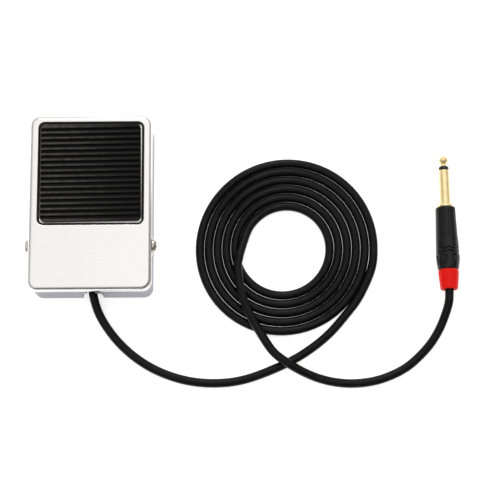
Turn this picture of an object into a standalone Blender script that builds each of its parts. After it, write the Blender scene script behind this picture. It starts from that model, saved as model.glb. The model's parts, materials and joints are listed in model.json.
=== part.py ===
"""Sustain pedal: a sprung metal treadle on a shallow tray, a snap switch inside, a coiled lead
and a 6.35 mm jack plug.

Frame: +X to the player's right, +Y towards the toe end that is pressed, +Z up, with the origin
on the floor under the middle of the housing.  The treadle is drawn level and hangs from the
empty "treadle_pivot" on the hinge axis, which holds it toe-up at rest.
"""
import math

import bmesh
import bpy
from mathutils import Matrix, Vector

MM = 0.001
GAP = 0.3 * MM                      # clearance between pieces that touch
REACH = 120 * MM                    # longer than anything that a cutter goes through

# Hinge and treadle ------------------------------------------------------------------------
HINGE_Y = -25.5 * MM
HINGE_Z = 22.8 * MM
REST_TILT = 1.4                     # degrees, toe up
COVER_HALF_X = 36.7 * MM
COVER_HALF_Y = 53.25 * MM
COVER_Y = 0.08 * MM                 # brings the tilted treadle back over the origin
COVER_TOP = 30.4 * MM
COVER_LIP = 23.9 * MM               # lower edge of the treadle's lip
COVER_WALL = 1.2 * MM
COVER_CORNER = 6.0 * MM
SHOULDER = 2.8 * MM
EAR_R = 6.0 * MM
EAR_OUT = 36.75 * MM

# Tread pad and the recess it is glued into ----------------------------------------------
RECESS_X = 0.3 * MM
RECESS_HALF_X = 31.85 * MM
RECESS_TOE = 49.3 * MM
RECESS_HEEL = -14.1 * MM
RECESS_CORNER = 4.0 * MM
RECESS_FLOOR = 28.8 * MM
RECESS_SLOPE = 1.3 / 1.6            # how far its walls lean in, for each unit of depth
PAN_UNDER = 27.6 * MM
PAD_X, PAD_Y = 0.13 * MM, 17.9 * MM
PAD_HALF_X, PAD_HALF_Y = 30.05 * MM, 29.8 * MM
PAD_CORNER = 3.0 * MM
PAD_TURN = 0.5                      # degrees; the pad is glued in a little askew
PAD_TOP = 31.1 * MM
GROOVES = 17
GROOVE_FIRST = 26.4 * MM            # from the pad's middle
GROOVE_PITCH = 3.345 * MM
GROOVE_WIDTH = 1.3 * MM
GROOVE_DEPTH = 1.3 * MM
PAD_RIM = 0.7 * MM

# Tray ---------------------------------------------------------------------------------------
TRAY_HALF_X = 36.0 * MM
TRAY_HALF_Y = 52.9 * MM
TRAY_BOTTOM = 0.6 * MM
TRAY_CORNER = 5.6 * MM
STEP_HEEL = 22.8 * MM               # height of the outer wall at the heel and at the toe
STEP_TOE = 20.7 * MM
RABBET_INSET = 1.8 * MM             # the inner wall that stands inside the treadle's lip
RABBET_HEEL = 27.2 * MM
RABBET_TOE = 24.3 * MM
CAVITY_INSET = 3.1 * MM
FLOOR_UNDER = 2.5 * MM
FLOOR_TOP = 4.1 * MM
SOLE_HALF_X = 31.2 * MM
SOLE_HALF_Y = 48.0 * MM
NOTCH_HALF = 6.1 * MM
NOTCH_TOP = 15.8 * MM
SLIT_HALF = 2.6 * MM

# Hinge hardware, M4 ---------------------------------------------------------------------------
SHANK_R = 1.75 * MM
HOLE_R = 2.1 * MM
HEAD_R = 4.35 * MM
HEAD_H = 2.55 * MM

# Switch -----------------------------------------------------------------------------------------
SWITCH_HALF_X = 5.15 * MM
SWITCH_HEEL = 0.0 * MM
SWITCH_TOE = 27.8 * MM
SWITCH_BOTTOM = FLOOR_TOP + GAP
SWITCH_TOP = 20.4 * MM
LEVER_Y = 1.6 * MM
LEVER_Z = 22.0 * MM
LEVER_SLOPE = 7.8                   # degrees at rest
LEVER_LENGTH = 25.5 * MM
PLUNGER_Y = 10.6 * MM
PLUNGER_TOP = 22.65 * MM
PEG_Y = 25.0 * MM
PEG_TIP = 24.55 * MM                # in the level treadle

# Spring and stops --------------------------------------------------------------------------
SPRING_Y = 39.0 * MM
SPRING_R = 4.0 * MM
SPRING_WIRE_R = 0.5 * MM
SPRING_BOTTOM = 5.8 * MM
SPRING_TOP = 27.2 * MM
SPRING_TURNS = 7
STOP_X = 22.0 * MM
STOP_Y = 43.5 * MM
STOP_POST_TOP = 19.0 * MM
STOP_TOP = 24.7 * MM

# Cord ---------------------------------------------------------------------------------------------
CORD_R = 2.6 * MM
COIL_X, COIL_Y = 116.1 * MM, -23.5 * MM
COIL_INNER = 22.0 * MM
COIL_OUTER = 56.4 * MM
COIL_HEIGHT = 5.4 * MM
CLAMP_Y = -41.0 * MM
ENTRY_Z = 7.3 * MM

# Hand-placed points of the two open stretches of the cord, in millimetres.
LEAD_ROUTE = (
    (0.0, -49.6, 7.3), (0.5, -53.5, 6.7), (3.1, -62.1, 4.6), (7.8, -70.7, 3.0), (15.1, -80.1, 2.7),
    (24.4, -88.8, 2.7), (35.4, -96.1, 2.7), (47.6, -101.4, 2.7), (60.3, -104.6, 2.7),
    (73.3, -105.6, 2.7), (86.5, -104.5, 2.7), (99.9, -100.8, 2.7), (117.7, -93.3, 2.7),
    (131.0, -85.4, 2.7), (139.4, -78.7, 2.7))
TAIL_ROUTE = (
    (88.3, -29.2, 8.4), (87.2, -35.8, 8.4), (89.2, -49.4, 8.4), (93.4, -62.5, 8.4),
    (100.7, -75.9, 8.4), (108.4, -87.5, 8.4), (117.4, -94.6, 8.3), (126.0, -99.3, 5.6),
    (135.4, -103.0, 3.1), (145.6, -105.5, 2.7), (156.6, -106.3, 2.7), (168.4, -105.0, 2.7),
    (179.2, -101.6, 2.7), (188.7, -96.6, 2.7), (196.7, -89.9, 2.7), (203.6, -82.3, 2.7),
    (209.0, -73.7, 2.9), (212.7, -64.9, 4.9), (214.7, -57.8, 7.2), (215.1, -51.2, 7.8))
ROUTE_SPACING = 6.0 * MM

# Plug: its axis runs from the boot's rear end, slightly nose down -----------------------------
PLUG_REAR = (215.1 * MM, -50.6 * MM, 7.8 * MM)
PLUG_LEAN = 0.3                     # degrees towards -X
PLUG_DIP = 1.6                      # degrees, nose down

PARTS = None
CUTTERS = None
MATERIALS = {}


# ---------------------------------------------------------------------------------- scene setup

def clear_scene():
    for obj in list(bpy.data.objects):
        bpy.data.objects.remove(obj)


def new_collection(name):
    collection = bpy.data.collections.new(name)
    bpy.context.scene.collection.children.link(collection)
    return collection


def make_material(name, colour, roughness, metallic=0.0):
    material = bpy.data.materials.new(name)
    material.use_nodes = True
    shader = material.node_tree.nodes["Principled BSDF"]
    shader.inputs["Base Color"].default_value = (*colour, 1.0)
    shader.inputs["Roughness"].default_value = roughness
    shader.inputs["Metallic"].default_value = metallic
    MATERIALS[name] = material


def make_materials():
    make_material("satin_metal", (0.78, 0.78, 0.76), 0.32, 1.0)
    make_material("tray_metal", (0.56, 0.56, 0.60), 0.40, 1.0)
    make_material("screw_steel", (0.66, 0.62, 0.56), 0.22, 1.0)
    make_material("zinc_steel", (0.60, 0.60, 0.58), 0.35, 1.0)
    make_material("black_rubber", (0.018, 0.018, 0.019), 0.55)
    make_material("white_nylon", (0.80, 0.79, 0.74), 0.45)
    make_material("switch_plastic", (0.03, 0.03, 0.032), 0.45)
    make_material("red_plastic", (0.80, 0.04, 0.03), 0.35)
    make_material("brass", (0.80, 0.60, 0.30), 0.30, 1.0)
    make_material("gold_plate", (0.95, 0.76, 0.42), 0.16, 1.0)
    make_material("black_shell", (0.030, 0.030, 0.032), 0.35)
    make_material("red_boot", (0.86, 0.035, 0.015), 0.38)
    make_material("cord_jacket", (0.020, 0.020, 0.021), 0.42)
    make_material("wire_white", (0.75, 0.75, 0.72), 0.45)
    make_material("wire_black", (0.02, 0.02, 0.02), 0.45)


# ------------------------------------------------------------------------------- object helpers

def add_object(name, data, material, parent=None):
    obj = bpy.data.objects.new(name, data)
    PARTS.objects.link(obj)
    obj.data.materials.append(MATERIALS[material])
    obj.parent = parent
    return obj


def add_mesh(name, bm, material, parent=None, smooth=True):
    mesh = bpy.data.meshes.new(name)
    bmesh.ops.recalc_face_normals(bm, faces=bm.faces)
    bm.to_mesh(mesh)
    bm.free()
    if smooth:
        mesh.shade_smooth()
        mesh.set_sharp_from_angle(angle=math.radians(35))
    return add_object(name, mesh, material, parent)


def add_cutter(name, bm, parent=None):
    mesh = bpy.data.meshes.new(name)
    bmesh.ops.recalc_face_normals(bm, faces=bm.faces)
    bm.to_mesh(mesh)
    bm.free()
    cutter = bpy.data.objects.new(name, mesh)
    CUTTERS.objects.link(cutter)
    cutter.parent = parent
    cutter.hide_render = True
    cutter.display_type = "WIRE"
    return cutter


def boolean(obj, other, operation="DIFFERENCE"):
    modifier = obj.modifiers.new(other.name, "BOOLEAN")
    modifier.operation = operation
    modifier.solver = "EXACT"
    modifier.object = other


def box(low, high, bm=None):
    """A box between two corners, in a new or an existing bmesh."""
    bm = bm or bmesh.new()
    low, high = Vector(low), Vector(high)
    place = Matrix.Translation((low + high) / 2) @ Matrix.Diagonal((*(high - low), 1.0))
    bmesh.ops.create_cube(bm, size=1.0, matrix=place)
    return bm


def cylinder(radius, length, centre, axis="Z", sides=32, bm=None):
    """A closed cylinder about the X, Y or Z direction."""
    bm = bm or bmesh.new()
    turn = {"X": Matrix.Rotation(math.pi / 2, 4, "Y"),
            "Y": Matrix.Rotation(math.pi / 2, 4, "X"),
            "Z": Matrix.Identity(4)}[axis]
    bmesh.ops.create_cone(bm, cap_ends=True, segments=sides, radius1=radius, radius2=radius,
                          depth=length, matrix=Matrix.Translation(centre) @ turn)
    return bm


def is_upright(edge):
    a, b = edge.verts[0].co, edge.verts[1].co
    return abs(a.x - b.x) < 1e-7 and abs(a.y - b.y) < 1e-7


def bevel_edges(bm, edges, radius, steps):
    bmesh.ops.bevel(bm, geom=edges, offset=radius, segments=steps, profile=0.5, affect="EDGES")


def rounded_box(half_x, y_range, z_range, corner, steps=6):
    """A box centred on X = 0 whose four upright edges are rounded."""
    bm = box((-half_x, y_range[0], z_range[0]), (half_x, y_range[1], z_range[1]))
    bevel_edges(bm, [e for e in bm.edges if is_upright(e)], corner, steps)
    return bm


def slope_top(bm, level, heel, toe, half_y):
    """Set the height of every vertex above level along a line from the heel to the toe."""
    for vert in bm.verts:
        if vert.co.z > level:
            share = (vert.co.y + half_y) / (2 * half_y)
            vert.co.z = heel + (toe - heel) * share


def turned(name, profile, material, parent=None, closed=False, steps=24):
    """Revolve (radius, height) points, given top to bottom on the outer side, about local Z."""
    mesh = bpy.data.meshes.new(name)
    points = [(radius, 0.0, height) for radius, height in profile]
    edges = [(i, i + 1) for i in range(len(points) - 1)]
    if closed:
        edges.append((len(points) - 1, 0))
    mesh.from_pydata(points, edges, [])
    obj = add_object(name, mesh, material, parent)
    screw = obj.modifiers.new("Screw", "SCREW")
    screw.axis = "Z"
    screw.steps = steps
    screw.render_steps = steps
    screw.use_merge_vertices = True
    screw.merge_threshold = 0.000001
    return obj


def tube(name, points, radius, material, parent=None, resolution=2):
    """A round wire or cord through the given points."""
    curve = bpy.data.curves.new(name, "CURVE")
    curve.dimensions = "3D"
    curve.bevel_depth = radius
    curve.bevel_resolution = resolution
    curve.use_fill_caps = True
    spline = curve.splines.new("POLY")
    spline.points.add(len(points) - 1)
    for slot, point in zip(spline.points, points):
        slot.co = (*point, 1.0)
    return add_object(name, curve, material, parent)


def along_spline(route, spacing):
    """Evenly spaced points on a Catmull-Rom curve through the route's points."""
    knots = [Vector(p) for p in route]
    knots = [2 * knots[0] - knots[1]] + knots + [2 * knots[-1] - knots[-2]]
    fine = []
    for a, b, c, d in zip(knots, knots[1:], knots[2:], knots[3:]):
        for step in range(20):
            t = step / 20
            fine.append(0.5 * (2 * b + (c - a) * t + (2 * a - 5 * b + 4 * c - d) * t ** 2
                               + (3 * b - 3 * c + d - a) * t ** 3))
    fine.append(knots[-2])
    lengths = [0.0]
    for a, b in zip(fine, fine[1:]):
        lengths.append(lengths[-1] + (b - a).length)
    count = max(2, round(lengths[-1] / spacing))
    points = []
    index = 0
    for k in range(count + 1):
        target = lengths[-1] * k / count
        while index < len(fine) - 2 and lengths[index + 1] < target:
            index += 1
        share = (target - lengths[index]) / (lengths[index + 1] - lengths[index])
        points.append(fine[index].lerp(fine[index + 1], share))
    return points


def in_metres(route):
    return [tuple(value * MM for value in point) for point in route]


def new_pivot(name, location, rotation=(0.0, 0.0, 0.0)):
    pivot = bpy.data.objects.new(name, None)
    PARTS.objects.link(pivot)
    pivot.location = location
    pivot.rotation_euler = rotation
    return pivot


# ------------------------------------------------------------------------------------------ tray

def make_tray():
    """A cast tray: a stepped wall, a floor, two stop posts, a cord notch and hinge recesses."""
    outer = rounded_box(TRAY_HALF_X, (-TRAY_HALF_Y, TRAY_HALF_Y), (TRAY_BOTTOM, STEP_HEEL),
                        TRAY_CORNER)
    slope_top(outer, FLOOR_TOP, STEP_HEEL, STEP_TOE, TRAY_HALF_Y)
    tray = add_mesh("base_tray", outer, "tray_metal")

    half_x, half_y = TRAY_HALF_X - RABBET_INSET, TRAY_HALF_Y - RABBET_INSET
    rabbet = rounded_box(half_x, (-half_y, half_y), (TRAY_BOTTOM + 0.5 * MM, RABBET_HEEL),
                         TRAY_CORNER - RABBET_INSET)
    slope_top(rabbet, FLOOR_TOP, RABBET_HEEL, RABBET_TOE, half_y)
    boolean(tray, add_cutter("rabbet_wall", rabbet), "UNION")

    half_x, half_y = TRAY_HALF_X - CAVITY_INSET, TRAY_HALF_Y - CAVITY_INSET
    cavity = rounded_box(half_x, (-half_y, half_y), (FLOOR_TOP, REACH),
                         TRAY_CORNER - CAVITY_INSET)
    boolean(tray, add_cutter("tray_cavity", cavity))

    posts = bmesh.new()
    for side in (-1, 1):
        height = STOP_POST_TOP - FLOOR_UNDER - 0.4 * MM
        cylinder(4.4 * MM, height, (side * STOP_X, STOP_Y, STOP_POST_TOP - height / 2),
                 sides=24, bm=posts)
    boolean(tray, add_cutter("stop_posts", posts), "UNION")

    sole = rounded_box(SOLE_HALF_X + GAP, (-SOLE_HALF_Y - GAP, SOLE_HALF_Y + GAP),
                       (-REACH, FLOOR_UNDER), 5.3 * MM, 5)
    boolean(tray, add_cutter("sole_recess", sole))

    notch = box((-NOTCH_HALF, -REACH, -1 * MM),
                (NOTCH_HALF, -TRAY_HALF_Y + CAVITY_INSET + 0.2 * MM, NOTCH_TOP))
    upper = [e for e in notch.edges
             if all(v.co.z > NOTCH_TOP - 1e-6 for v in e.verts)
             and abs(e.verts[0].co.x - e.verts[1].co.x) < 1e-7]
    bevel_edges(notch, upper, 3.2 * MM, 4)
    boolean(tray, add_cutter("cord_notch", notch))
    slit = box((-SLIT_HALF, -REACH, NOTCH_TOP - 1 * MM),
               (SLIT_HALF, -TRAY_HALF_Y + CAVITY_INSET + 0.3 * MM, REACH))
    boolean(tray, add_cutter("assembly_slit", slit))

    recess = bmesh.new()
    wall_inner = TRAY_HALF_X - RABBET_INSET
    for side in (-1, 1):
        cylinder(EAR_R + 0.6 * MM, 6 * MM, (side * (wall_inner + 3 * MM), HINGE_Y, HINGE_Z),
                 "X", 40, recess)
    boolean(tray, add_cutter("ear_recesses", recess))

    holes = cylinder(HOLE_R, 2 * REACH, (0, HINGE_Y, HINGE_Z), "X", 24)
    boolean(tray, add_cutter("hinge_holes", holes))
    boolean(tray, add_cutter("floor_holes", floor_holes()))
    return tray


def floor_screw_places():
    """The places of the bracket's and the cord clamp's screws on the tray floor."""
    return {"bracket_screw_heel": (-12.8 * MM, 6.5 * MM),
            "bracket_screw_toe": (-12.8 * MM, 21.5 * MM),
            "clamp_screw_left": (-7.6 * MM, CLAMP_Y),
            "clamp_screw_right": (7.6 * MM, CLAMP_Y)}


def floor_holes():
    bm = bmesh.new()
    for x, y in floor_screw_places().values():
        cylinder(1.75 * MM, 4 * MM, (x, y, FLOOR_TOP), sides=20, bm=bm)
    return bm


def make_sole():
    """The rubber sole, set into the underside, with a chamfered lower edge."""
    bm = rounded_box(SOLE_HALF_X, (-SOLE_HALF_Y, SOLE_HALF_Y), (0.0, FLOOR_UNDER - GAP), 5.0 * MM, 5)
    rim = [e for e in bm.edges if all(v.co.z < 1e-7 for v in e.verts)]
    bevel_edges(bm, rim, 0.3 * MM, 1)
    add_mesh("sole_pad", bm, "black_rubber")


# --------------------------------------------------------------------------------------- treadle

def from_pivot(y, z):
    """A height and a place along Y of the level treadle, seen from the hinge axis."""
    return y - HINGE_Y, z - HINGE_Z


def make_cover_shell(pivot):
    """The open shell: a rounded box without its underside, thickened inwards."""
    low_y, low_z = from_pivot(COVER_Y - COVER_HALF_Y, COVER_LIP)
    high_y, high_z = from_pivot(COVER_Y + COVER_HALF_Y, COVER_TOP)
    bm = box((-COVER_HALF_X, low_y, low_z), (COVER_HALF_X, high_y, high_z))
    underside = [f for f in bm.faces if f.normal.z < -0.9]
    bmesh.ops.delete(bm, geom=underside, context="FACES_ONLY")
    bevel_edges(bm, [e for e in bm.edges if is_upright(e)], COVER_CORNER, 6)
    rim = [e for e in bm.edges if all(v.co.z > high_z - 1e-7 for v in e.verts)]
    bevel_edges(bm, rim, SHOULDER, 5)
    cover = add_mesh("top_cover", bm, "satin_metal", pivot)
    shell = cover.modifiers.new("Shell", "SOLIDIFY")
    shell.thickness = COVER_WALL
    shell.offset = -1.0
    shell.use_even_offset = True
    return cover


def make_ears(pivot):
    """Two tabs that carry the lip down around the hinge screws: D shapes with a flat top."""
    bm = bmesh.new()
    thickness = EAR_OUT - (COVER_HALF_X - COVER_WALL) + 0.1 * MM
    for side in (-1, 1):
        cylinder(EAR_R, thickness, (side * (EAR_OUT - thickness / 2), 0, 0), "X", 40, bm)
    flat = COVER_LIP - HINGE_Z + 1.4 * MM
    for vert in bm.verts:
        vert.co.z = min(vert.co.z, flat)
    return add_cutter("hinge_ears", bm, pivot)


def tapered_recess(name, outset, floor, top, pivot):
    """A cutter shaped like the pad's recess, outset on every side, its walls leaning in."""
    heel_y, floor_z = from_pivot(RECESS_HEEL - outset, floor)
    toe_y, top_z = from_pivot(RECESS_TOE + outset, top)
    half_x, half_y = RECESS_HALF_X + outset, (toe_y - heel_y) / 2
    bm = rounded_box(half_x, (-half_y, half_y), (floor_z, top_z), RECESS_CORNER + outset, 4)
    for vert in bm.verts:
        lean = (vert.co.z - (COVER_TOP - HINGE_Z)) * RECESS_SLOPE
        vert.co.x *= (half_x + lean) / half_x
        vert.co.y *= (half_y + lean) / half_y
    cutter = add_cutter(name, bm, pivot)
    cutter.location = (RECESS_X, (toe_y + heel_y) / 2, 0)
    return cutter


def make_cover(pivot):
    """The treadle: shell, sunk pan for the pad, ears, and the holes for the hinge screws."""
    cover = make_cover_shell(pivot)
    pan = tapered_recess("pad_pan", COVER_WALL, PAN_UNDER, COVER_TOP - 0.5 * MM, pivot)
    boolean(cover, pan, "UNION")
    boolean(cover, make_ears(pivot), "UNION")
    boolean(cover, tapered_recess("pad_recess", 0, RECESS_FLOOR, COVER_TOP + 0.5 * MM, pivot))
    holes = cylinder(HOLE_R, 2 * REACH, (0, 0, 0), "X", 24)
    boolean(cover, add_cutter("ear_holes", holes, pivot))


def make_pad(pivot):
    """The ribbed rubber pad: a rounded slab with grooves that stop short of its rim."""
    middle, under_z = from_pivot(PAD_Y, RECESS_FLOOR + GAP)
    top_z = PAD_TOP - HINGE_Z
    slab = rounded_box(PAD_HALF_X, (-PAD_HALF_Y, PAD_HALF_Y), (under_z, top_z), PAD_CORNER, 4)
    rim = [e for e in slab.edges if all(v.co.z > top_z - 1e-7 for v in e.verts)]
    bevel_edges(slab, rim, 0.4 * MM, 2)
    pad = add_mesh("tread_pad", slab, "black_rubber", pivot)

    grooves = bmesh.new()
    half = PAD_HALF_X - PAD_RIM
    for k in range(GROOVES):
        y = GROOVE_FIRST - k * GROOVE_PITCH
        box((-half, y - GROOVE_WIDTH / 2, top_z - GROOVE_DEPTH),
            (half, y + GROOVE_WIDTH / 2, top_z + 2 * MM), grooves)
    cutter = add_cutter("pad_grooves", grooves, pivot)
    for obj in (pad, cutter):
        obj.location = (PAD_X, middle, 0)
        obj.rotation_euler.z = math.radians(PAD_TURN)
    boolean(pad, cutter)


def make_spring_cup(pivot):
    """The flanged cup under the pan that holds the spring's upper end."""
    y, top = from_pivot(SPRING_Y, PAN_UNDER - GAP)
    floor, rim = top - 0.9 * MM, top - 3.4 * MM
    profile = [(0, top), (6.4 * MM, top), (6.4 * MM, rim), (5.5 * MM, rim), (5.5 * MM, floor),
               (0, floor)]
    cup = turned("spring_cup", profile, "zinc_steel", pivot)
    cup.location.y = y


def make_peg(pivot):
    """The peg under the pan that presses the switch lever."""
    y, top = from_pivot(PEG_Y, PAN_UNDER - GAP)
    tip = PEG_TIP - HINGE_Z
    profile = [(0, top), (4.2 * MM, top), (4.2 * MM, top - 0.9 * MM), (2.6 * MM, top - 0.9 * MM),
               (2.6 * MM, tip + 0.8 * MM), (1.9 * MM, tip + 0.2 * MM), (0.8 * MM, tip), (0, tip)]
    peg = turned("actuator_peg", profile, "zinc_steel", pivot, steps=16)
    peg.location.y = y


# ------------------------------------------------------------------------------- hinge hardware

def dome(radius, height, count=5):
    """Profile points of a domed head above z = 0, from its crown to its rim."""
    points = []
    for k in range(count + 1):
        angle = math.pi / 2 * k / count
        points.append((radius * math.sin(angle), height * (0.25 + 0.75 * math.cos(angle))))
    return points


def make_hinge_screw(name, side):
    """A domed cross-recess screw whose shank passes through the ear and the tray wall."""
    seat = 36.7 * MM + GAP
    end = 28.4 * MM
    profile = dome(HEAD_R, HEAD_H) + [(HEAD_R, 0), (SHANK_R, 0), (SHANK_R, end - seat),
                                      (0, end - seat)]
    screw = turned(name, profile, "screw_steel")
    screw.location = (side * seat, HINGE_Y, HINGE_Z)
    screw.rotation_euler = (0, side * math.pi / 2, 0)
    for turn in (0, 1):
        reach, half, depth = 2.5 * MM, 0.5 * MM, 1.3 * MM
        size = (reach, half) if turn == 0 else (half, reach)
        slot = box((-size[0], -size[1], HEAD_H - depth), (size[0], size[1], HEAD_H + 2 * MM))
        boolean(screw, add_cutter(f"{name}_slot_{turn}", slot, screw))


def ring(name, outer, inner, start, end, side, material):
    """A flat ring about the hinge axis between two distances from the middle."""
    profile = [(outer, end), (outer, start), (inner, start), (inner, end)]
    washer = turned(name, profile, material, closed=True, steps=18)
    washer.location = (0, HINGE_Y, HINGE_Z)
    washer.rotation_euler = (0, side * math.pi / 2, 0)


def make_hinge_nut(name, side):
    """A hexagon nut inside the tray."""
    inner_wall = TRAY_HALF_X - CAVITY_INSET
    end = inner_wall - 2 * GAP - 0.8 * MM
    length = 2.8 * MM
    centre = (side * (end - length / 2), HINGE_Y, HINGE_Z)
    nut = add_mesh(name, cylinder(4.0 * MM, length, centre, "X", 6), "zinc_steel", smooth=False)
    bore = cylinder(HOLE_R, 3 * length, centre, "X", 24)
    boolean(nut, add_cutter(f"{name}_bore", bore))


def make_hinge_hardware():
    for word, side in (("left", -1), ("right", 1)):
        make_hinge_screw(f"hinge_screw_{word}", side)
        ring(f"hinge_washer_{word}", 4.2 * MM, HOLE_R, 34.55 * MM, 35.05 * MM, side,
             "white_nylon")
        inner = TRAY_HALF_X - CAVITY_INSET - GAP
        ring(f"lock_washer_{word}", 3.6 * MM, HOLE_R, inner - 0.8 * MM, inner, side, "zinc_steel")
        make_hinge_nut(f"hinge_nut_{word}", side)


# --------------------------------------------------------------------------------------- switch

def switch_hole_places():
    return {"heel": (3.6 * MM, 9.4 * MM), "toe": (24.0 * MM, 15.2 * MM)}


def make_switch_body():
    """The snap switch's case, with a plunger well, two fixing holes and two lever lugs."""
    bm = box((-SWITCH_HALF_X, SWITCH_HEEL, SWITCH_BOTTOM), (SWITCH_HALF_X, SWITCH_TOE, SWITCH_TOP))
    bevel_edges(bm, list(bm.edges), 0.4 * MM, 1)
    body = add_mesh("switch_body", bm, "switch_plastic", smooth=False)
    lugs = bmesh.new()
    for side in (-1, 1):
        x = side * 3.7 * MM
        box((x - 0.6 * MM, LEVER_Y - 1.2 * MM, SWITCH_TOP - 2 * MM),
            (x + 0.6 * MM, LEVER_Y + 1.2 * MM, LEVER_Z + 1.1 * MM), lugs)
    boolean(body, add_cutter("lever_lugs", lugs), "UNION")
    well = cylinder(1.9 * MM, 9 * MM, (0, PLUNGER_Y, SWITCH_TOP), sides=24)
    cylinder(0.8 * MM, 12 * MM, (0, LEVER_Y, LEVER_Z), "X", 16, well)
    for y, z in switch_hole_places().values():
        cylinder(1.8 * MM, 14 * MM, (0, y, z), "X", 20, well)
    boolean(body, add_cutter("switch_holes", well))


def make_bracket():
    """An angle bracket: an upright plate beside the switch and a foot on the tray floor."""
    plate_x = -SWITCH_HALF_X - GAP
    thick = 1.2 * MM
    outline = [(plate_x, SWITCH_BOTTOM), (plate_x, 18.6 * MM), (plate_x - thick, 18.6 * MM),
               (plate_x - thick, SWITCH_BOTTOM + thick), (-16.5 * MM, SWITCH_BOTTOM + thick),
               (-16.5 * MM, SWITCH_BOTTOM)]
    curve = bpy.data.curves.new("switch_bracket_outline", "CURVE")
    curve.dimensions = "2D"
    curve.fill_mode = "BOTH"
    curve.extrude = 12.5 * MM
    spline = curve.splines.new("POLY")
    spline.points.add(len(outline) - 1)
    for slot, (x, z) in zip(spline.points, outline):
        slot.co = (x, z, 0.0, 1.0)
    spline.use_cyclic_u = True
    guide = bpy.data.objects.new("switch_bracket_outline", curve)
    CUTTERS.objects.link(guide)
    guide.rotation_euler = (math.pi / 2, 0, 0)
    guide.location = (0, 14.0 * MM, 0)
    bpy.context.view_layer.update()
    evaluated = guide.evaluated_get(bpy.context.evaluated_depsgraph_get())
    mesh = bpy.data.meshes.new_from_object(evaluated)
    bm = bmesh.new()
    bm.from_mesh(mesh)
    bmesh.ops.remove_doubles(bm, verts=bm.verts, dist=1e-7)
    bmesh.ops.transform(bm, matrix=guide.matrix_world, verts=bm.verts)
    bpy.data.objects.remove(guide)
    bracket = add_mesh("switch_bracket", bm, "zinc_steel", smooth=False)
    holes = bmesh.new()
    for y, z in switch_hole_places().values():
        cylinder(1.8 * MM, 4 * MM, (plate_x - thick / 2, y, z), "X", 20, holes)
    for name, (x, y) in floor_screw_places().items():
        if name.startswith("bracket"):
            cylinder(1.8 * MM, 4 * MM, (x, y, SWITCH_BOTTOM + thick / 2), sides=20, bm=holes)
    boolean(bracket, add_cutter("bracket_holes", holes))


def make_pan_screw(name, place, turn, shank_length):
    """A small slotted screw: its head stands on +Z of its own frame, its shank runs down."""
    head_r = 2.7 * MM
    head_h = 1.7 * MM
    shank = 1.45 * MM
    profile = [(0, head_h), (head_r * 0.8, head_h), (head_r, head_h * 0.6), (head_r, 0), (shank, 0),
               (shank, -shank_length), (0, -shank_length)]
    screw = turned(name, profile, "zinc_steel", steps=14)
    screw.location = place
    screw.rotation_euler = turn
    slot = box((-REACH, -0.35 * MM, head_h - 0.8 * MM), (REACH, 0.35 * MM, head_h + 1 * MM))
    boolean(screw, add_cutter(f"{name}_slot", slot, screw))


def make_floor_screws():
    for name, (x, y) in floor_screw_places().items():
        seat = SWITCH_BOTTOM + 1.2 * MM + GAP
        make_pan_screw(name, (x, y, seat), (0, 0, 0), seat - FLOOR_UNDER - 0.2 * MM)


def make_switch_screws():
    """Two screws through the switch and the bracket, each with a nut behind the bracket."""
    back = -SWITCH_HALF_X - GAP - 1.2 * MM
    for word, (y, z) in switch_hole_places().items():
        seat = SWITCH_HALF_X + GAP
        make_pan_screw(f"switch_screw_{word}", (seat, y, z), (0, math.pi / 2, 0),
                       seat - back + 3.0 * MM)
        centre = (back - GAP - 1.2 * MM, y, z)
        nut = add_mesh(f"switch_nut_{word}", cylinder(3.0 * MM, 2.4 * MM, centre, "X", 6),
                       "zinc_steel", smooth=False)
        bore = cylinder(1.8 * MM, 6 * MM, centre, "X", 20)
        boolean(nut, add_cutter(f"switch_nut_{word}_bore", bore))


def make_terminals():
    """Three solder tags on the heel end of the switch, each with a wire hole."""
    for word, z in (("common", 7.4 * MM), ("open", 12.4 * MM), ("closed", 17.4 * MM)):
        tag = add_mesh(f"terminal_{word}",
                       box((-2.2 * MM, -7.3 * MM, z - 0.4 * MM),
                           (2.2 * MM, SWITCH_HEEL - GAP, z + 0.4 * MM)), "brass", smooth=False)
        hole = cylinder(0.8 * MM, 3 * MM, (0, -5.3 * MM, z), sides=16)
        boolean(tag, add_cutter(f"terminal_{word}_hole", hole))


def make_lever():
    """The spring-steel lever: a strip with an eye around its pin."""
    pivot = new_pivot("lever_pivot", (0, LEVER_Y, LEVER_Z), (math.radians(LEVER_SLOPE), 0, 0))
    strip = box((-2.4 * MM, 0.9 * MM, -0.25 * MM), (2.4 * MM, LEVER_LENGTH, 0.25 * MM))
    lever = add_mesh("switch_lever", strip, "zinc_steel", pivot, smooth=False)
    eye = cylinder(1.25 * MM, 4.8 * MM, (0, 0, 0), "X", 20)
    boolean(lever, add_cutter("lever_eye", eye, pivot), "UNION")
    bore = cylinder(0.8 * MM, 8 * MM, (0, 0, 0), "X", 16)
    boolean(lever, add_cutter("lever_bore", bore, pivot))
    pin = cylinder(0.48 * MM, 8.8 * MM, (0, LEVER_Y, LEVER_Z), "X", 16)
    add_mesh("lever_pin", pin, "zinc_steel")


def make_plunger():
    length = 5.2 * MM
    profile = [(0, 0), (0.7 * MM, -0.1 * MM), (1.3 * MM, -0.6 * MM), (1.5 * MM, -1.2 * MM),
               (1.5 * MM, -length), (0, -length)]
    plunger = turned("switch_plunger", profile, "red_plastic", steps=16)
    plunger.location = (0, PLUNGER_Y, PLUNGER_TOP)


# ------------------------------------------------------------------------------ spring and stops

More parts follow.
